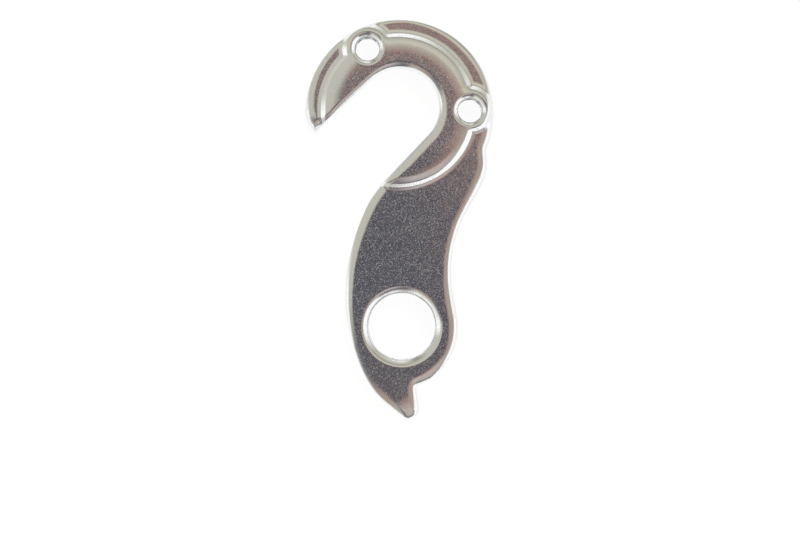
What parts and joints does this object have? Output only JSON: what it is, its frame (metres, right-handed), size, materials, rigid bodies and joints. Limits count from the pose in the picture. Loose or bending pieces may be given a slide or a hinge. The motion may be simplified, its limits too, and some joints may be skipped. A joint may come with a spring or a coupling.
{
  "type": "bicycle derailleur hanger",
  "caption": "Curved metal hanger with a hook round an open axle slot, a raised bolt pad, and a threaded eye with a stop nose that carries a rear derailleur.",
  "frame": {"origin": "where the axis of the derailleur thread meets the back face", "axes": "+Z along the thread out of the front, where the raised pad is; +Y along the length from the derailleur thread to the axle slot; +X to the right as seen from the front"},
  "size_m": [0.0253, 0.0535, 0.0073],
  "materials": {
    "metal": "polished, with a fine grain"
  },
  "bodies": {
    "root": {"derailleur_hanger": "metal"}
  },
  "joints": []
}
